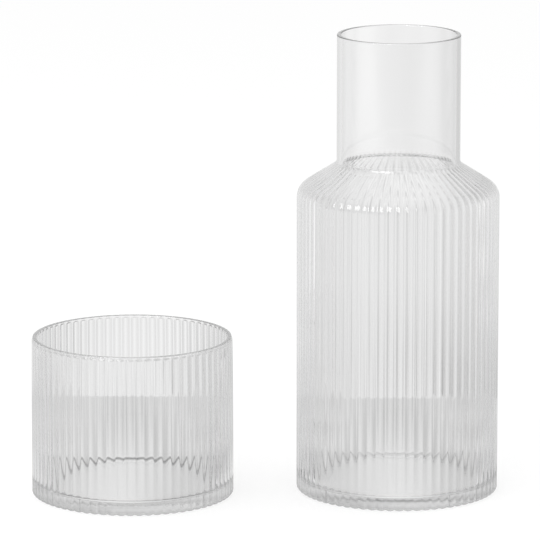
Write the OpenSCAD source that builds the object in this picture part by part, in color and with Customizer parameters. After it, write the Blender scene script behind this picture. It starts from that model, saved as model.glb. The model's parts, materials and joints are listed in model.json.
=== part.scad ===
// Bedside carafe with its tumbler, in clear ribbed glass.
// The carafe stands on the origin and its neck points up. The tumbler stands at its side.
// Turned over, the tumbler caps the neck: its bottom sits on the lip, and its rim ends just
// above the shoulder, so both glasses share one diameter and the neck sets the tumbler's height.

/* [Carafe] */
// Height from the table to the lip
carafe_h = 199; // [180:0.5:220]
// Diameter over the ribs, which the tumbler shares
body_d = 87; // [80:0.5:95]
// Diameter of the neck
neck_d = 53; // [48:0.5:58]
// Height of the plain neck above the shoulder
neck_h = 55.7; // [45:0.1:65]
// Fall of the shoulder below the horizontal, in degrees
shoulder_angle = 32.7; // [26:0.1:40]
// Radius that rounds the shoulder into the side wall
shoulder_round = 7.5; // [5:0.5:12]
// Glass thickness of the side wall and shoulder, from rib crest to inside
body_wall = 1.8; // [1.6:0.1:3]
// Glass thickness of the neck
neck_wall = 1.8; // [1.6:0.1:3.5]
// Radius of the fire-polished lip, inside and out
lip_round = 0.5; // [0.3:0.05:0.75]
// Inner radius where the neck opens into the shoulder
throat_round = 0.8; // [0.5:0.1:6]
// Glass thickness of the carafe's bottom
carafe_floor = 5; // [3:0.5:8]

/* [Tumbler] */
// How far the plain rim lies inside the ribs of the side wall
rim_inset = 0.7; // [0.2:0.05:4]
// Glass thickness at the rim
rim_wall = 1.8; // [1.7:0.05:2.4]
// Radius of the fire-polished rim, inside and out
rim_round = 0.4; // [0.2:0.05:0.8]
// Height of the plain band under the rim
rim_band = 1.4; // [1:0.1:5]
// Length over which the ribs die out below that band
rib_fade = 0.6; // [0.4:0.1:8]
// Share of the rib height that is left where they start to die out
rim_rib_share = 0.25; // [0.1:0.05:1]
// Length of wall over which they lose the rest
rim_rib_reach = 18; // [6:1:30]
// Glass thickness of the tumbler's bottom
tumbler_floor = 5; // [3:0.5:8]
// Gap that the rim keeps above the shoulder when the tumbler caps the neck
nest_gap = 1; // [0.5:0.1:3]

/* [Ribs and rounding] */
// Number of ribs round each glass
rib_count = 68; // [60:1:80]
// Height of a rib from groove to crest
rib_h = 0.4; // [0.2:0.05:0.8]
// Share of the rib height that is left at the top of the shoulder
neck_rib_share = 0.15; // [0.1:0.05:1]
// Length over which the ribs then die out
neck_fade = 0.4; // [0.3:0.1:4]
// Plain strip of shoulder that is left between the ribs and the neck
neck_strip = 0.3; // [0.2:0.1:1.5]
// Outer radius of the foot's edge
foot_round = 1.5; // [1:0.1:4]
// Inner radius where the side wall meets the bottom
inner_round = 3; // [1:0.5:12]

/* [Setting on the table] */
// Clear space between the two glasses, seen from the front
stand_gap = 27.3; // [10:0.1:60]
// How much nearer the viewer the tumbler stands
stand_forward = 7.9; // [0:0.1:20]

/* [Hidden] */

// Points worked out on each rib, from one crest to the next
rib_steps = 4;
// Steps in each rounded stretch of the ribbed outline, and in each plain one
rail_steps = 4;
arc_steps = 10;
// Overrun of a cut past the glass
cut_over = 2;
// Share of the rib height at each step up the foot's edge, from the plain foot to the wall
foot_rise_shares = [0, 0.2, 0.7, 1];
// How late the tumbler's wall leans in on its way up: the lean grows as this power of the height
lean_power = 2.5;

glass = [0.86, 0.89, 0.89, 0.45];
around = rib_count * rib_steps;

body_r = body_d / 2;
neck_r = neck_d / 2;
rim_r = body_r - rim_inset;
neck_bore_r = neck_r - neck_wall;
carafe_bore_r = body_r - body_wall;
tumbler_bore_r = rim_r - rim_wall;

// The shoulder is a cone that meets the neck at junction_z, and the side wall at corner_z
junction_z = carafe_h - neck_h;
corner_z = junction_z - (body_r - neck_r) * tan(shoulder_angle);
shoulder_turn = 90 - shoulder_angle;
round_centre = [body_r - shoulder_round, corner_z - shoulder_round * tan(shoulder_turn / 2)];
function shoulder_z(r) = junction_z - (r - neck_r) * tan(shoulder_angle);
// The inside of the shoulder runs parallel to the outside, one wall below it, and would meet the
// bore at bore_foot_z. A round takes that corner off.
bore_foot_z = shoulder_z(neck_bore_r) - body_wall / cos(shoulder_angle);
throat_centre = [neck_bore_r + throat_round, bore_foot_z + throat_round * tan(shoulder_turn / 2)];

// The tumbler is as deep as the neck and shoulder that it covers
tumbler_h = tumbler_floor + carafe_h - shoulder_z(tumbler_bore_r) - nest_gap;
tumbler_x = -(body_d + stand_gap);
tumbler_y = -stand_forward;

// Points on an arc, as [radius, height]
function arc(centre, r, from, to, steps) =
    [for (i = [0 : steps]) let (a = from + (to - from) * i / steps) centre + r * [cos(a), sin(a)]];

// A rail is the outline that the ribs run along, from the foot up. Each of its stations is
// [radius and height at a rib's crest, direction out of the glass, share of the rib height].
function station(point, slope, share) = [point, [cos(slope), sin(slope)], share];

// How far a point lies towards the groove, from 0 on the crest to 1 in the groove:
// a parabola on both sides of each crest, so that the ribs are round and the grooves sharp
function groove_share(step) =
    let (t = (step % rib_steps) / rib_steps) pow(2 * min(t, 1 - t), 2);

function ring(s) =
    [for (i = [0 : around - 1])
        let (a = 360 * i / around, p = s[0] - rib_h * s[2] * groove_share(i) * s[1])
        [p[0] * cos(a), p[0] * sin(a), p[1]]];

foot_rail =
    [for (i = [0 : len(foot_rise_shares) - 1])
        let (a = -90 + 90 * i / (len(foot_rise_shares) - 1))
        station([body_r - foot_round, foot_round] + foot_round * [cos(a), sin(a)], a, foot_rise_shares[i])];

// On the shoulder the ribs draw together towards the neck, and lose height as they do
function shoulder_rib_share(r) =
    neck_rib_share + (1 - neck_rib_share) * pow((r - neck_r) / (body_r - neck_r), 2);
shoulder_rail = concat(
    [for (i = [0 : rail_steps])
        let (a = shoulder_turn * i / rail_steps, p = round_centre + shoulder_round * [cos(a), sin(a)])
        station(p, a, shoulder_rib_share(p[0]))],
    [for (reach = [neck_strip + neck_fade, neck_strip, -neck_wall / 2])
        let (r = neck_r + reach)
        station([r, shoulder_z(r)], shoulder_turn, reach > neck_strip ? shoulder_rib_share(r) : 0)]
);

// The grooves run out level with the plain band under the rim, and the crests stand outside it
rib_top_r = rim_r + rib_h * rim_rib_share;
rib_top_z = tumbler_h - rim_band - rib_fade;
function leaning_r(z) = body_r - (body_r - rib_top_r) * pow(z / rib_top_z, lean_power);
tumbler_rail = concat(
    [station([leaning_r(rib_top_z / 2), rib_top_z / 2], 0, 1)],
    [for (i = [0 : 2])
        let (lost = i / 2, z = rib_top_z - rim_rib_reach * (1 - lost))
        station([leaning_r(z), z], 0, 1 - (1 - rim_rib_share) * lost)],
    [station([rim_r, tumbler_h - rim_band], 0, 0)],
    [for (i = [0 : 2])
        let (a = 45 * i)
        station([rim_r - rim_round, tumbler_h - rim_round] + rim_round * [cos(a), sin(a)], a, 0)]
);

// Solid with ribs round it: one ring of points at each station, closed flat at both ends
module ribbed_solid(rail) {
    points = [for (s = rail) each ring(s)];
    last = len(rail) - 1;
    sides = [for (k = [0 : last - 1], i = [0 : around - 1])
        let (j = (i + 1) % around, low = k * around, high = low + around)
        each [[low + i, high + i, high + j], [low + i, high + j, low + j]]];
    foot = [for (i = [0 : around - 1]) i];
    top = [for (i = [around - 1 : -1 : 0]) last * around + i];
    polyhedron(points, concat([foot], sides, [top]), convexity = 4);
}

// Plain neck, whose foot is sunk in the shoulder
module neck() {
    rotate_extrude($fn = around)
        polygon(concat(
            [[0, corner_z], [neck_r, corner_z]],
            arc([neck_r - lip_round, carafe_h - lip_round], lip_round, 0, 90, arc_steps),
            [[0, carafe_h]]
        ));
}

// Room inside the carafe, from the floor up through the neck and out of the lip
module carafe_inside() {
    rotate_extrude($fn = around)
        polygon(concat(
            [[0, carafe_floor]],
            arc([carafe_bore_r - inner_round, carafe_floor + inner_round], inner_round, -90, 0, arc_steps),
            arc(round_centre, shoulder_round - body_wall, 0, shoulder_turn, arc_steps),
            arc(throat_centre, throat_round, 180 + shoulder_turn, 180, arc_steps),
            arc([neck_bore_r + lip_round, carafe_h - lip_round], lip_round, 180, 90, arc_steps),
            [[neck_bore_r + lip_round, carafe_h + cut_over], [0, carafe_h + cut_over]]
        ));
}

// Room inside the tumbler, straight from the floor to the rim
module tumbler_inside() {
    rotate_extrude($fn = around)
        polygon(concat(
            [[0, tumbler_floor]],
            arc([tumbler_bore_r - inner_round, tumbler_floor + inner_round], inner_round, -90, 0, arc_steps),
            arc([tumbler_bore_r + rim_round, tumbler_h - rim_round], rim_round, 180, 90, arc_steps),
            [[tumbler_bore_r + rim_round, tumbler_h + cut_over], [0, tumbler_h + cut_over]]
        ));
}

module carafe() {
    color(glass)
        difference() {
            union() {
                ribbed_solid(concat(foot_rail, shoulder_rail));
                neck();
            }
            carafe_inside();
        }
}

module tumbler() {
    color(glass)
        translate([tumbler_x, tumbler_y, 0])
            difference() {
                ribbed_solid(concat(foot_rail, tumbler_rail));
                tumbler_inside();
            }
}

carafe();
tumbler();
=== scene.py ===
"""Bedside carafe with its tumbler, in clear ribbed glass, on a pale table.

Both glasses are turned shapes: an outline, carried round an axis, whose skin is drawn in between
the ribs. Lengths are in millimetres until a mesh is made, angles are in degrees, and the axes
are the frame's.
"""

import json
import math

import bpy
import numpy as np
from mathutils import Euler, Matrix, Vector


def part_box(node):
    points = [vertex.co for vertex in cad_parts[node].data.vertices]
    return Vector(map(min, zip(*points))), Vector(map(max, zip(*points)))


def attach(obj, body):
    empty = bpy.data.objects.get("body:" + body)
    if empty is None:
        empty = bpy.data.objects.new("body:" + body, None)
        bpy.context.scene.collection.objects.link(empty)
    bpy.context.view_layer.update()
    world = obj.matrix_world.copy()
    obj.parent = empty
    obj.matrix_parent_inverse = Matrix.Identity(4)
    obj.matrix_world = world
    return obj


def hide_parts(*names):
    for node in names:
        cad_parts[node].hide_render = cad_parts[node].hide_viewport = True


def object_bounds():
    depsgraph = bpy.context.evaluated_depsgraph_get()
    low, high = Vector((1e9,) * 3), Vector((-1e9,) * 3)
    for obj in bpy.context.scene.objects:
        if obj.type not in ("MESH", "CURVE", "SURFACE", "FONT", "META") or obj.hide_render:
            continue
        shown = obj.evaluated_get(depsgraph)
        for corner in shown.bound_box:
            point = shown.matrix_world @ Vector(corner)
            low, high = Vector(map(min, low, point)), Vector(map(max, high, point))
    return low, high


MM = 0.001

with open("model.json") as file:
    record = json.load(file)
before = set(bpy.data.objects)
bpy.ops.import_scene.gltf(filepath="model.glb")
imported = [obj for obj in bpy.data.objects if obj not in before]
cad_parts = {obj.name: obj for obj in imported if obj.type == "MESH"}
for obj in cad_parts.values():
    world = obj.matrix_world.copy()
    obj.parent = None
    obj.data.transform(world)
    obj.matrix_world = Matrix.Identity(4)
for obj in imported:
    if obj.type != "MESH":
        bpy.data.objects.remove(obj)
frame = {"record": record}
cad_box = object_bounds()


def node_box(name):
    """Lowest and highest corner of a node of the frame, in millimetres."""
    return [np.array(corner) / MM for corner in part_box(name)]


# Sizes of the glasses

carafe_low, carafe_high = node_box("carafe")
tumbler_low, tumbler_high = node_box("tumbler")
CARAFE_H = carafe_high[2]
TUMBLER_H = tumbler_high[2]
BODY_R = (carafe_high[1] - carafe_low[1]) / 2
CARAFE_AXIS = (carafe_low[:2] + carafe_high[:2]) / 2
TUMBLER_AXIS = (tumbler_low[:2] + tumbler_high[:2]) / 2
NECK_BORE_R = next(m for m in frame["record"]["mounts"] if m["name"] == "neck_bore")["dims"]["r_mm"]

# Glass thicknesses
NECK_WALL = 1.8
BODY_WALL = 1.8
RIM_WALL = 1.8
FLOOR_T = 5.0

# The neck, and the cone of the shoulder, which falls away from it
NECK_H = 55.7
SHOULDER_ANGLE = 32.7
SHOULDER_ROUND = 7.5
CREASE_ROUND = 3.0
THROAT_ROUND = CREASE_ROUND + NECK_WALL
LIP_ROUND = 0.5

# The tumbler's wall leans in as this power of the height, up to a plain band under the rim
LEAN_POWER = 2.5
RIM_INSET = 0.7
RIM_BAND = 0.7
RIM_ROUND = 0.4

# The foot, alike on both. The ribs run on under its edge, over the reach of the heel
FOOT_ROUND = 1.5
HEEL_REACH = 7.0
INNER_ROUND = 3.0

# The ribs outside, and the lengths over which they die out at the neck and the rim
RIB_COUNT = 68
RIB_H = 0.4
GROOVE_SOFTNESS = 0.15
NECK_RIB_SHARE = 0.15
NECK_FADE = 0.4
RIM_FADE = 1.0

# The ripple that they leave inside, as a share of their height. It starts a little way outside
# the bore, and comes up over a short length above the floor
RIPPLE_SHARE = 0.15
RIPPLE_START = 3.0
RIPPLE_LIFT = 3.0

# Worked out from these
NECK_R = NECK_BORE_R + NECK_WALL
CARAFE_INNER_R = BODY_R - BODY_WALL
RIM_R = BODY_R - RIM_INSET
TUMBLER_INNER_R = RIM_R - RIM_WALL
LIP_Z = CARAFE_H - LIP_ROUND
RIM_Z = TUMBLER_H - RIM_ROUND
RIBS_END_Z = TUMBLER_H - RIM_BAND
RIBS_TOP_Z = RIBS_END_Z - RIM_FADE
SHOULDER_TURN = 90 - SHOULDER_ANGLE
SHOULDER_FALL = math.tan(math.radians(SHOULDER_ANGLE))
# A round between the cone and an upright wall touches both at this many radii from their corner
ROUND_REACH = math.tan(math.radians(SHOULDER_TURN / 2))
JUNCTION_Z = CARAFE_H - NECK_H
CORNER_Z = JUNCTION_Z - (BODY_R - NECK_R) * SHOULDER_FALL
SHOULDER_CENTRE = [BODY_R - SHOULDER_ROUND, CORNER_Z - SHOULDER_ROUND * ROUND_REACH]

# Points worked out on each rib, and on the stretches of the outlines
RIB_STEPS = 12
AROUND = RIB_COUNT * RIB_STEPS
HEEL_POINTS, FOOT_POINTS, INNER_ROUND_POINTS = 6, 8, 12
SHOULDER_POINTS, CONE_POINTS, CREASE_POINTS, LIP_POINTS = 14, 18, 8, 6
THROAT_POINTS, INNER_CONE_POINTS, INNER_SHOULDER_POINTS = 8, 8, 8
WALL_POINTS, RIM_FADE_POINTS, RIM_POINTS, TUMBLER_INNER_POINTS = 44, 8, 8, 4
# A point this close to each end of a straight keeps the shading of the bends from running on
STRAIGHT_HOLD = 0.1


# Outlines, as points of [radius, height]

def arc(centre, radius, start, stop, count):
    """Points on an arc: the centre plus the radius times the cosine and sine of an angle that
    runs evenly from start to stop."""
    a = np.radians(np.linspace(start, stop, count))
    return np.stack([centre[0] + radius * np.cos(a), centre[1] + radius * np.sin(a)], axis=1)


def straight(start, stop, count=0):
    """Points spaced evenly from start to stop, without the two ends, and one close to each."""
    hold = STRAIGHT_HOLD / math.dist(start, stop)
    t = np.concatenate([[hold], np.linspace(0, 1, count + 2)[1:-1], [1 - hold]])[:, None]
    return np.array(start) * (1 - t) + np.array(stop) * t


def smooth_step(x, low, high):
    """0 below low, 1 above high, and 3t^2 - 2t^3 of the share t of the way between them."""
    t = np.clip((x - low) / (high - low), 0, 1)
    return t * t * (3 - 2 * t)


def foot_outline():
    """From the middle of the foot out to the side wall, round the foot's edge."""
    heel = [BODY_R - HEEL_REACH, 0]
    return np.concatenate([
        [[0, 0], heel],
        straight(heel, [BODY_R - FOOT_ROUND, 0], HEEL_POINTS),
        arc([BODY_R - FOOT_ROUND, FOOT_ROUND], FOOT_ROUND, -90, 0, FOOT_POINTS),
    ])


def floor_outline(inner_r):
    """From the inside of the side wall down to the middle of the floor."""
    edge_r = inner_r - INNER_ROUND
    return np.concatenate([
        arc([edge_r, FLOOR_T + INNER_ROUND], INNER_ROUND, 0, -90, INNER_ROUND_POINTS),
        straight([edge_r, FLOOR_T], [0, FLOOR_T], 1),
        [[0, FLOOR_T]],
    ])


def carafe_outside():
    """Up the wall, round the shoulder, up the cone and the neck, and over the outer half of the
    lip. The crease where the cone meets the neck is a hollow round, which touches both."""
    shoulder = arc(SHOULDER_CENTRE, SHOULDER_ROUND, 0, SHOULDER_TURN, SHOULDER_POINTS)
    crease_centre = [NECK_R + CREASE_ROUND, JUNCTION_Z + CREASE_ROUND * ROUND_REACH]
    crease = arc(crease_centre, CREASE_ROUND, 180 + SHOULDER_TURN, 180, CREASE_POINTS)
    return np.concatenate([
        straight([BODY_R, FOOT_ROUND], [BODY_R, SHOULDER_CENTRE[1]]),
        shoulder,
        straight(shoulder[-1], crease[0], CONE_POINTS),
        crease,
        straight(crease[-1], [NECK_R, LIP_Z]),
        arc([NECK_R - LIP_ROUND, LIP_Z], LIP_ROUND, 0, 90, LIP_POINTS),
    ])


def carafe_inside():
    """Over the inner half of the lip, down the bore, round the throat, down under the cone and
    the shoulder, and down the wall to the floor. The underside of the cone runs parallel to its
    outside, one wall below it, and the throat is a full round between it and the bore."""
    wall_drop = BODY_WALL / math.cos(math.radians(SHOULDER_ANGLE))
    bore_foot_z = JUNCTION_Z + NECK_WALL * SHOULDER_FALL - wall_drop
    throat_centre = [NECK_BORE_R + THROAT_ROUND, bore_foot_z + THROAT_ROUND * ROUND_REACH]
    throat = arc(throat_centre, THROAT_ROUND, 180, 180 + SHOULDER_TURN, THROAT_POINTS)
    shoulder = arc(SHOULDER_CENTRE, SHOULDER_ROUND - BODY_WALL, SHOULDER_TURN, 0, INNER_SHOULDER_POINTS)
    return np.concatenate([
        arc([NECK_BORE_R + LIP_ROUND, LIP_Z], LIP_ROUND, 90, 180, LIP_POINTS),
        straight([NECK_BORE_R, LIP_Z], throat[0]),
        throat,
        straight(throat[-1], shoulder[0], INNER_CONE_POINTS),
        shoulder,
        straight([CARAFE_INNER_R, SHOULDER_CENTRE[1]], [CARAFE_INNER_R, FLOOR_T + INNER_ROUND]),
        floor_outline(CARAFE_INNER_R),
    ])


def tumbler_outside():
    """Up the wall, and over the outer half of the rim. The crests lean in by t^p, where t is the
    share of the ribbed height, and p the lean's power. Where the ribs die out, the crests draw
    in by the height of a rib, so that the grooves run out level with the plain band."""
    height = np.concatenate([
        [FOOT_ROUND + STRAIGHT_HOLD],
        np.linspace(FOOT_ROUND, RIBS_TOP_Z, WALL_POINTS)[1:],
        np.linspace(RIBS_TOP_Z, RIBS_END_Z, RIM_FADE_POINTS)[1:],
        [RIM_Z - STRAIGHT_HOLD],
    ])
    lean = ((height - FOOT_ROUND) / (RIBS_TOP_Z - FOOT_ROUND)).clip(0, 1) ** LEAN_POWER
    inset = (RIM_INSET - RIB_H) * lean + RIB_H * smooth_step(height, RIBS_TOP_Z, RIBS_END_Z)
    wall = np.stack([BODY_R - inset, height], axis=1)
    return np.concatenate([wall, arc([RIM_R - RIM_ROUND, RIM_Z], RIM_ROUND, 0, 90, RIM_POINTS)])


def tumbler_inside():
    """Over the inner half of the rim, and straight down the wall to the floor."""
    foot_of_wall = [TUMBLER_INNER_R, FLOOR_T + INNER_ROUND]
    return np.concatenate([
        arc([TUMBLER_INNER_R + RIM_ROUND, RIM_Z], RIM_ROUND, 90, 180, RIM_POINTS),
        straight([TUMBLER_INNER_R, RIM_Z], foot_of_wall, TUMBLER_INNER_POINTS),
        floor_outline(TUMBLER_INNER_R),
    ])


# Ribs, as a share of their height at each point of an outline

def foot_ribs(outline):
    """From 0 at the heel to 1 at the foot's edge."""
    return smooth_step(outline[:, 0], BODY_R - HEEL_REACH, BODY_R - FOOT_ROUND)


def carafe_ribs(outline):
    """1 on the wall. Towards the neck the ribs shrink to their share there with the square of
    the way that is left, and just before it they die out."""
    way_left = ((outline[:, 0] - NECK_R) / (BODY_R - NECK_R)).clip(0, 1)
    ribs = NECK_RIB_SHARE + (1 - NECK_RIB_SHARE) * way_left**2
    return ribs * smooth_step(outline[:, 0] - NECK_R, 0, NECK_FADE)


def tumbler_ribs(outline):
    """1 up to the top of the ribs, and 0 on the plain band."""
    return 1 - smooth_step(outline[:, 1], RIBS_TOP_Z, RIBS_END_Z)


def inner_ripple(outline):
    """0 on the floor, and the ripple's share above it. Its sign is turned, so that the inside
    bulges a little behind each groove, as the outside is drawn in there."""
    return -RIPPLE_SHARE * smooth_step(outline[:, 1], FLOOR_T, FLOOR_T + RIPPLE_LIFT)


def rib_height(t):
    """Height share across one rib, from 1 on the crest at t = 0 to 0 in the groove: the size of
    cos(pi t), with the sharp turn in the groove rounded off by a small constant under a root."""
    soft = GROOVE_SOFTNESS
    raw = np.sqrt(np.cos(np.pi * t) ** 2 + soft**2) - soft
    return raw / (math.sqrt(1 + soft**2) - soft)


# Meshes

def put_in_scene(name, data):
    """A new object of that name, which holds a mesh, a lamp or a camera."""
    thing = bpy.data.objects.new(name, data)
    bpy.context.scene.collection.objects.link(thing)
    return thing


def outward(outline):
    """Unit vectors square to an outline, out of the glass: the run from the point before to the
    point after, turned a quarter turn clockwise."""
    run = np.gradient(outline, axis=0)
    square = np.stack([run[:, 1], -run[:, 0]], axis=1)
    return square / np.linalg.norm(square, axis=1, keepdims=True)


def turned_rings(axis, outline, rib_share):
    """Rings of points: an outline carried round a vertical axis. Each point is drawn in along
    the outline's normal by the rib height times its own share times how far it lies from the
    nearest crest."""
    turn = np.arange(AROUND) / AROUND
    groove = 1 - rib_height((turn * RIB_COUNT) % 1)
    sink = RIB_H * rib_share[:, None] * groove[None, :]
    normal = outward(outline)
    radius = outline[:, :1] - sink * normal[:, :1]
    height = outline[:, 1:] - sink * normal[:, 1:]
    angle = 2 * np.pi * turn[None, :]
    return np.stack([axis[0] + radius * np.cos(angle), axis[1] + radius * np.sin(angle), height], axis=2)


def turned_faces(ring_count):
    """Quads between each ring and the next, then the two fans of triangles that close the ends.
    The points are numbered ring by ring, with the end points last."""
    index = np.arange(ring_count * AROUND).reshape(ring_count, AROUND)
    beside = np.roll(index, -1, axis=1)
    quads = np.stack([index[:-1], beside[:-1], beside[1:], index[1:]], axis=2).reshape(-1, 4)
    foot, floor = np.full(AROUND, index.size), np.full(AROUND, index.size + 1)
    foot_fan = np.stack([foot, beside[0], index[0]], axis=1)
    floor_fan = np.stack([floor, index[-1], beside[-1]], axis=1)
    return quads.tolist() + foot_fan.tolist() + floor_fan.tolist()


def turned_glass(name, axis, stretches, rib_shares):
    """A closed mesh round a vertical axis, from the stretches of its outline and the ribs on
    each. The outline starts and ends on the axis, with a single point there."""
    outline = np.concatenate(stretches)
    rings = turned_rings(axis, outline, np.concatenate(rib_shares))
    ends = [[axis[0], axis[1], outline[0, 1]], [axis[0], axis[1], outline[-1, 1]]]
    points = np.concatenate([rings[1:-1].reshape(-1, 3), ends]) * MM
    mesh = bpy.data.meshes.new(name)
    mesh.from_pydata(points.tolist(), [], turned_faces(len(outline) - 2))
    mesh.polygons.foreach_set("use_smooth", np.ones(len(mesh.polygons), dtype=bool))
    mesh.update()
    return put_in_scene(name, mesh)


def make_carafe():
    """The carafe: foot, outside and inside, in one skin."""
    foot, outside, inside = foot_outline(), carafe_outside(), carafe_inside()
    ripple = inner_ripple(inside)
    ripple *= smooth_step(inside[:, 0], NECK_BORE_R + RIPPLE_START, CARAFE_INNER_R)
    ribs = [foot_ribs(foot), carafe_ribs(outside), ripple]
    return turned_glass("carafe_glass", CARAFE_AXIS, [foot, outside, inside], ribs)


def make_tumbler():
    """The tumbler: foot, outside and inside, in one skin."""
    foot, outside, inside = foot_outline(), tumbler_outside(), tumbler_inside()
    ripple = inner_ripple(inside) * tumbler_ribs(inside)
    ribs = [foot_ribs(foot), tumbler_ribs(outside), ripple]
    return turned_glass("tumbler_glass", TUMBLER_AXIS, [foot, outside, inside], ribs)


# Shader expressions

class Value:
    """An output socket that Python's operators work on: each adds its Math node."""

    def __init__(self, nodes, socket):
        self.nodes, self.socket = nodes, socket

    def math(self, operation, *others):
        """A Math node of this value and the others that the operation needs."""
        sockets = dict(enumerate([self, *others]))
        return self.nodes.add("ShaderNodeMath", {"operation": operation}, sockets)["Value"]

    def __add__(self, other):
        return self.math("ADD", other)

    def __radd__(self, other):
        return self.math("ADD", other)

    def __sub__(self, other):
        return self.math("SUBTRACT", other)

    def __rsub__(self, other):
        return self.math("MULTIPLY", -1) + other

    def __mul__(self, other):
        return self.math("MULTIPLY", other)

    def __rmul__(self, other):
        return self.math("MULTIPLY", other)

    def __truediv__(self, other):
        return self.math("DIVIDE", other)

    def __abs__(self):
        return self.math("ABSOLUTE")

    def maximum(self, other):
        """The larger of this and another value."""
        return self.math("MAXIMUM", other)

    def ramp(self, low, high):
        """0 below low, 1 above high, and smooth between them."""
        settings = {"interpolation_type": "SMOOTHSTEP"}
        sockets = {"Value": self, "From Min": low, "From Max": high}
        return self.nodes.add("ShaderNodeMapRange", settings, sockets)["Result"]


class Nodes:
    """A node tree, emptied and ready to be built up."""

    def __init__(self, owner):
        owner.use_nodes = True
        self.tree = owner.node_tree
        self.tree.nodes.clear()

    def add(self, kind, settings=None, sockets=None):
        """Adds a node: its settings first, such as a ramp's stops, then the values or links of
        its sockets. Returns its outputs by name."""
        node = self.tree.nodes.new(kind)
        for name, value in (settings or {}).items():
            if name == "stops":
                self.set_stops(node.color_ramp.elements, value)
            else:
                setattr(node, name, value)
        for name, value in (sockets or {}).items():
            if isinstance(value, Value):
                self.tree.links.new(value.socket, node.inputs[name])
            else:
                node.inputs[name].default_value = value
        return {output.name: Value(self, output) for output in node.outputs if output.enabled}

    def set_stops(self, elements, stops):
        """Gives a ramp its stops, each a place from 0 to 1 and a colour."""
        while len(elements) < len(stops):
            elements.new(1.0)
        for element, (place, colour) in zip(elements, stops):
            element.position, element.color = place, colour


WHITE = 1.0


def grey(level):
    """A neutral colour of that level."""
    return (level, level, level, 1.0)


def glow(nodes, tone):
    """A surface that shows its tone as it is, whatever light falls on it."""
    return nodes.add("ShaderNodeEmission", {}, {"Color": tone, "Strength": WHITE})["Emission"]


def mixed(nodes, share, one, other):
    """One surface where the share is 0, and the other where it is 1."""
    return nodes.add("ShaderNodeMixShader", {}, {0: share, 1: one, 2: other})["Shader"]


def seen_in_glass(path):
    """1 for what is seen through the glass or mirrored in it."""
    return path["Is Glossy Ray"].maximum(path["Is Transmission Ray"])


# The glass

# The share of the light that it keeps on a short way, and the least that it keeps. What it
# loses grows with the square of the way, and would be all of it on a way of that length
CLEARNESS, DARKEST = 0.99, 0.5
DARK_WAY = 110.0
REFRACTION = 1.5
SHADOW_TONE = 0.93
# Waves and faint smears in its skin, both drawn out upwards
WAVE_HEIGHT = 0.015
WAVES = {"Scale": 55.0, "Detail": 1.5, "Roughness": 0.4}
SMEARS = {"Scale": 130.0, "Detail": 3.0, "Roughness": 0.6}
SMEAR_LOW, SMEAR_HIGH = 0.45, 0.8
SMEAR_ROUGHNESS = 0.002
UPRIGHT_SCALE = 0.35


def clear_glass(name):
    """Clear glass, whose skin waves a little as blown glass does. Lamps shine through it, so
    that its shadow is pale."""
    material = bpy.data.materials.new(name)
    nodes = Nodes(material)
    place = nodes.add("ShaderNodeTexCoord")["Object"]
    drawn_out = {"Vector": place, "Scale": (1.0, 1.0, UPRIGHT_SCALE)}
    place = nodes.add("ShaderNodeMapping", {"vector_type": "POINT"}, drawn_out)["Vector"]
    waves = nodes.add("ShaderNodeTexNoise", {}, {"Vector": place, **WAVES})["Fac"]
    smears = nodes.add("ShaderNodeTexNoise", {}, {"Vector": place, **SMEARS})["Fac"]
    raised = {"Height": waves, "Strength": 1.0, "Distance": WAVE_HEIGHT * MM}
    path = nodes.add("ShaderNodeLightPath")
    leaving = nodes.add("ShaderNodeNewGeometry")["Backfacing"]
    # A way with mirrorings on it is taken to be as many times as long as its last stretch
    way = path["Ray Length"] * (path["Glossy Depth"] + 1) / (DARK_WAY * MM)
    glass = nodes.add(
        "ShaderNodeBsdfPrincipled",
        {},
        {
            "Base Color": (1 - leaving * way * way).maximum(DARKEST) * CLEARNESS,
            "Transmission Weight": 1.0,
            "IOR": REFRACTION,
            "Roughness": smears.ramp(SMEAR_LOW, SMEAR_HIGH) * SMEAR_ROUGHNESS,
            "Normal": nodes.add("ShaderNodeBump", {}, raised)["Normal"],
        },
    )["BSDF"]
    pale = nodes.add("ShaderNodeBsdfTransparent", {}, {"Color": grey(SHADOW_TONE)})["BSDF"]
    surface = mixed(nodes, path["Is Shadow Ray"], glass, pale)
    nodes.add("ShaderNodeOutputMaterial", {}, {"Surface": surface})
    return material


# The studio as the glass shows it, where a tone of 1 is white

# The tones of the wall, and of the part of the ceiling that slopes up from it, go by direction,
# from straight behind the glasses round to the right
WALL_TONES = [
    (-180, 0.50),
    (-130, 0.20),
    (-90, 0.25),
    (-60, 1.00),
    (-35, 0.82),
    (-15, 0.72),
    (0, 0.93),
    (15, 0.62),
    (35, 0.64),
    (60, 1.00),
    (90, 0.78),
    (130, 0.65),
    (180, 0.50),
]
SLOPE_TONES = [
    (-180, 0.30),
    (-150, 0.25),
    (-90, 0.25),
    (-30, 0.75),
    (30, 0.55),
    (90, 0.60),
    (150, 0.42),
    (180, 0.30),
]
CEILING_TONE = 1.0
# Heights of these parts as seen from the glasses: each pair is one soft border
WALL_TOP, SLOPE_FOOT = 5.0, 25.0
SLOPE_TOP, CEILING_FOOT = 40.0, 65.0
# The lamp as the glass shows it, in the same directions. It is lost where a view has passed
# through more skins
KEY_TONE = 6.0
KEY_TURN, KEY_RISE = -146.0, 30.0
KEY_HALF_TURN, KEY_HALF_RISE = 21.0, 15.0
KEY_EDGE = 1.0
KEY_SKINS = 1.5

# The table top runs on to the front and to both sides, and ends at its back edge
TABLE_BACK, TABLE_EDGE = 167.0, 3.0
# Its tone at the back edge, and its tones at the front, by the way to the right. The front tones hold
# painted light: from the lamp's side on the left they fall off to the right, up to 350 mm
TABLE_BACK_TONE = 0.66
TABLE_FRONT_TONES = [
    (-1000, 1.00),
    (-350, 1.00),
    (-114, 0.76),
    (0, 0.78),
    (120, 0.60),
    (350, 0.45),
    (900, 1.00),
    (1000, 1.00),
]
# Soft streaks that run from the front to the back, and fade out on both sides of the glasses
STREAK, STREAK_PITCH = 0.11, 60.0
STREAK_END, STREAK_FADE = 130.0, 80.0
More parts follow.
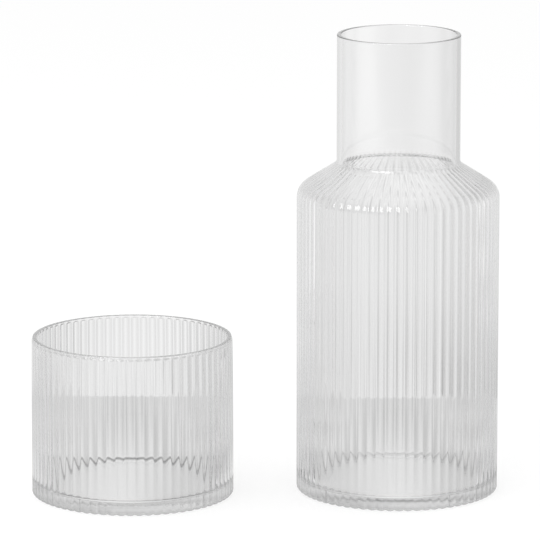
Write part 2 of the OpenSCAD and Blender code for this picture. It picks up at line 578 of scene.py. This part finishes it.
# The table top darkens close to each foot: how much, and over which length
CONTACT_SHADES, CONTACT_REACH = (0.2, 0.75), 4.0
# Far in front of the glasses it falls into shade
FRONT_SHADE, FRONT_SHADE_START, FRONT_SHADE_END = 0.35, -550.0, -950.0
# Behind the table the wall's foot lies under a veil of shade, in soft folds. It thins out to
# the back over its reach, and to the left between these two places
VEIL_TONE, VEIL_SHARE, VEIL_REACH, VEIL_PITCH = 0.25, 0.45, 300.0, 160.0
VEIL_LEFT, VEIL_START = -75.0, -35.0

# The floor and the room as the camera and the lamp find them. The floor's own light and shadow
# count with a share, and the rest of it is plain white
FLOOR_COLOUR = 0.95
FLOOR_REACH, FLOOR_DROP = 12000.0, 0.1
SHADOW_SHARE = 0.35
ROOM_LIGHT = 0.95


def tone_run(nodes, place, tones):
    """The tone at a place, on straight runs between the given places and their tones."""
    low, high = tones[0][0], tones[-1][0]
    stops = [((at - low) / (high - low), grey(tone)) for at, tone in tones]
    share = (place - low) / (high - low)
    return nodes.add("ShaderNodeValToRGB", {"stops": stops}, {"Fac": share})["Color"]


def swing(place, pitch):
    """A cosine of the place, which comes back to 1 after each pitch."""
    return (place * (2 * math.pi / pitch)).math("COSINE")


def within(value, middle, half):
    """1 less than half a width from the middle, and 0 further off, with a soft edge."""
    return 1 - abs(value - middle).ramp(half - KEY_EDGE, half + KEY_EDGE)


def room_tone(nodes, direction):
    """The tone of the wall, the slope, the ceiling or the lamp that lies in a direction."""
    along = nodes.add("ShaderNodeSeparateXYZ", {}, {"Vector": direction})
    turn = along["X"].math("ARCTAN2", along["Y"]).math("DEGREES")
    height = along["Z"].math("ARCSINE").math("DEGREES")
    wall = tone_run(nodes, turn, WALL_TONES)
    slope = tone_run(nodes, turn, SLOPE_TONES)
    low = wall + height.ramp(WALL_TOP, SLOPE_FOOT) * (slope - wall)
    tone = low + height.ramp(SLOPE_TOP, CEILING_FOOT) * (CEILING_TONE - low)
    skins = nodes.add("ShaderNodeLightPath")["Transmission Depth"]
    key = within(turn, KEY_TURN, KEY_HALF_TURN) * within(height, KEY_RISE, KEY_HALF_RISE)
    key *= skins.math("LESS_THAN", KEY_SKINS)
    return tone + key * (KEY_TONE - tone)


def beside_foot(x, y, axis):
    """1 at the edge of the foot round an axis, falling smoothly to 0 where the size of r - R
    comes to the reach of the shade."""
    x, y = x - axis[0], y - axis[1]
    return 1 - abs((x * x + y * y).math("SQRT") - BODY_R).ramp(0.0, CONTACT_REACH)


def table_tone(nodes, x, y):
    """The tone of the table top: the one at the back edge, going over into the ones at the
    front, plus the streaks, times what the shades leave."""
    nearer = 1 - y.ramp(-TABLE_BACK, TABLE_BACK)
    # The front tones are painted light, which falls off to the right, away from the lamp
    front = tone_run(nodes, x, TABLE_FRONT_TONES)
    streak = swing(x, STREAK_PITCH) * STREAK * (1 - abs(x).ramp(STREAK_END, STREAK_END + STREAK_FADE))
    shades = zip((CARAFE_AXIS, TUMBLER_AXIS), CONTACT_SHADES)
    contact = sum(beside_foot(x, y, axis) * depth for axis, depth in shades)
    far = 1 - y.ramp(FRONT_SHADE_END, FRONT_SHADE_START)
    tone = TABLE_BACK_TONE + nearer * (front - TABLE_BACK_TONE) + streak
    return tone * (1 - contact) * (1 - far * FRONT_SHADE)


def wall_foot(nodes, x, y):
    """Behind the table the floor is clear, so that the wall shows, but for the veil of shade."""
    clear = nodes.add("ShaderNodeBsdfTransparent", {}, {"Color": grey(WHITE)})["BSDF"]
    near = 1 - y.ramp(TABLE_BACK, TABLE_BACK + VEIL_REACH)
    fold = 0.5 - swing(x, VEIL_PITCH) * 0.5
    veiled = near * fold * x.ramp(VEIL_LEFT, VEIL_START) * VEIL_SHARE
    return mixed(nodes, veiled, clear, glow(nodes, grey(VEIL_TONE)))


def floor_paint():
    """Seen directly the floor is near white, and keeps the glasses' shadow. Through the glass or
    mirrored in it, it shows the grey table top, and the wall behind the table."""
    material = bpy.data.materials.new("floor_paint")
    nodes = Nodes(material)
    place = nodes.add("ShaderNodeTexCoord")["Object"]
    along = nodes.add("ShaderNodeSeparateXYZ", {}, {"Vector": place})
    x, y = along["X"] / MM, along["Y"] / MM
    behind = y.ramp(TABLE_BACK - TABLE_EDGE, TABLE_BACK)
    in_glass = mixed(nodes, behind, glow(nodes, table_tone(nodes, x, y)), wall_foot(nodes, x, y))
    lit = nodes.add("ShaderNodeBsdfDiffuse", {}, {"Color": grey(FLOOR_COLOUR)})["BSDF"]
    path = nodes.add("ShaderNodeLightPath")
    direct = mixed(nodes, path["Is Camera Ray"] * (1 - SHADOW_SHARE), lit, glow(nodes, grey(WHITE)))
    surface = mixed(nodes, seen_in_glass(path), direct, in_glass)
    nodes.add("ShaderNodeOutputMaterial", {}, {"Surface": surface})
    return material


def make_floor():
    """A square floor, just below the feet."""
    reach, drop = FLOOR_REACH * MM, -FLOOR_DROP * MM
    corners = [(-reach, -reach, drop), (reach, -reach, drop), (reach, reach, drop), (-reach, reach, drop)]
    mesh = bpy.data.meshes.new("floor")
    mesh.from_pydata(corners, [], [(0, 1, 2, 3)])
    mesh.materials.append(floor_paint())
    put_in_scene("floor", mesh)


def make_room():
    """The room round the table: white seen directly, its tones through the glass, and an even
    light on everything else."""
    world = bpy.data.worlds.new("room")
    bpy.context.scene.world = world
    nodes = Nodes(world)
    tone = room_tone(nodes, nodes.add("ShaderNodeTexCoord")["Generated"])
    path = nodes.add("ShaderNodeLightPath")
    light = ROOM_LIGHT + path["Is Camera Ray"] * (WHITE - ROOM_LIGHT)
    light += seen_in_glass(path) * (tone - ROOM_LIGHT)
    room = nodes.add("ShaderNodeBackground", {}, {"Color": light, "Strength": WHITE})["Background"]
    nodes.add("ShaderNodeOutputWorld", {}, {"Surface": room})


# The lamp that casts the shadow: its direction from the viewer round to the right, and its rise
LAMP_AZIMUTH, LAMP_ELEVATION, LAMP_DISTANCE = -30.0, 45.0, 1500.0
LAMP_WIDTH, LAMP_HEIGHT, LAMP_RADIANCE = 1050.0, 620.0, 6.0


def make_lamp():
    """A soft lamp, aimed at the middle of both glasses. Its power is its radiance times pi times
    its area. The glass doesn't show it, because the room's tones hold one."""
    lamp = bpy.data.lights.new("key", "AREA")
    lamp.shape = "RECTANGLE"
    lamp.size, lamp.size_y = LAMP_WIDTH * MM, LAMP_HEIGHT * MM
    lamp.energy = LAMP_RADIANCE * math.pi * lamp.size * lamp.size_y
    a, e = math.radians(LAMP_AZIMUTH), math.radians(LAMP_ELEVATION)
    towards = Vector((math.sin(a) * math.cos(e), -math.cos(a) * math.cos(e), math.sin(e)))
    middle = (Vector(cad_box[0]) + Vector(cad_box[1])) / 2
    box = put_in_scene("key", lamp)
    box.location = middle + towards * LAMP_DISTANCE * MM
    box.rotation_euler = towards.to_track_quat("Z", "Y").to_euler()
    box.visible_camera = False
    box.visible_glossy = False
    box.visible_transmission = False


# The camera, fitted to the rims, walls, shoulder and feet in the photograph
IMAGE_PX = 540
FOCAL_PX = 5000
SENSOR_WIDTH = 36.0
CAMERA_PLACE = Vector((-55.0, -2105.6, 539.4))
CAMERA_PITCH = 11.887
NEAREST, FARTHEST = 100.0, 50000.0


def make_camera():
    """A long lens that looks down a little at both glasses."""
    data = bpy.data.cameras.new("camera")
    data.sensor_width = SENSOR_WIDTH
    data.lens = FOCAL_PX / IMAGE_PX * SENSOR_WIDTH
    data.clip_start, data.clip_end = NEAREST * MM, FARTHEST * MM
    camera = put_in_scene("camera", data)
    camera.location = CAMERA_PLACE * MM
    camera.rotation_euler = Euler((math.radians(90 - CAMERA_PITCH), 0, 0))
    bpy.context.scene.camera = camera


make_camera()

carafe = make_carafe()
carafe.data.materials.append(clear_glass("carafe_clear"))
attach(carafe, "carafe")
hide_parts("carafe")

tumbler = make_tumbler()
tumbler.data.materials.append(clear_glass("tumbler_clear"))
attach(tumbler, "tumbler")
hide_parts("tumbler")

make_floor()
make_room()
make_lamp()

# Light crosses many skins of ribbed glass before it comes out
SKINS, SHADOW_SKINS = 64, 16

scene = bpy.context.scene
scene.view_settings.view_transform = "Standard"
scene.cycles.max_bounces = SKINS
scene.cycles.transmission_bounces = SKINS
scene.cycles.glossy_bounces = SKINS
scene.cycles.transparent_max_bounces = SHADOW_SKINS
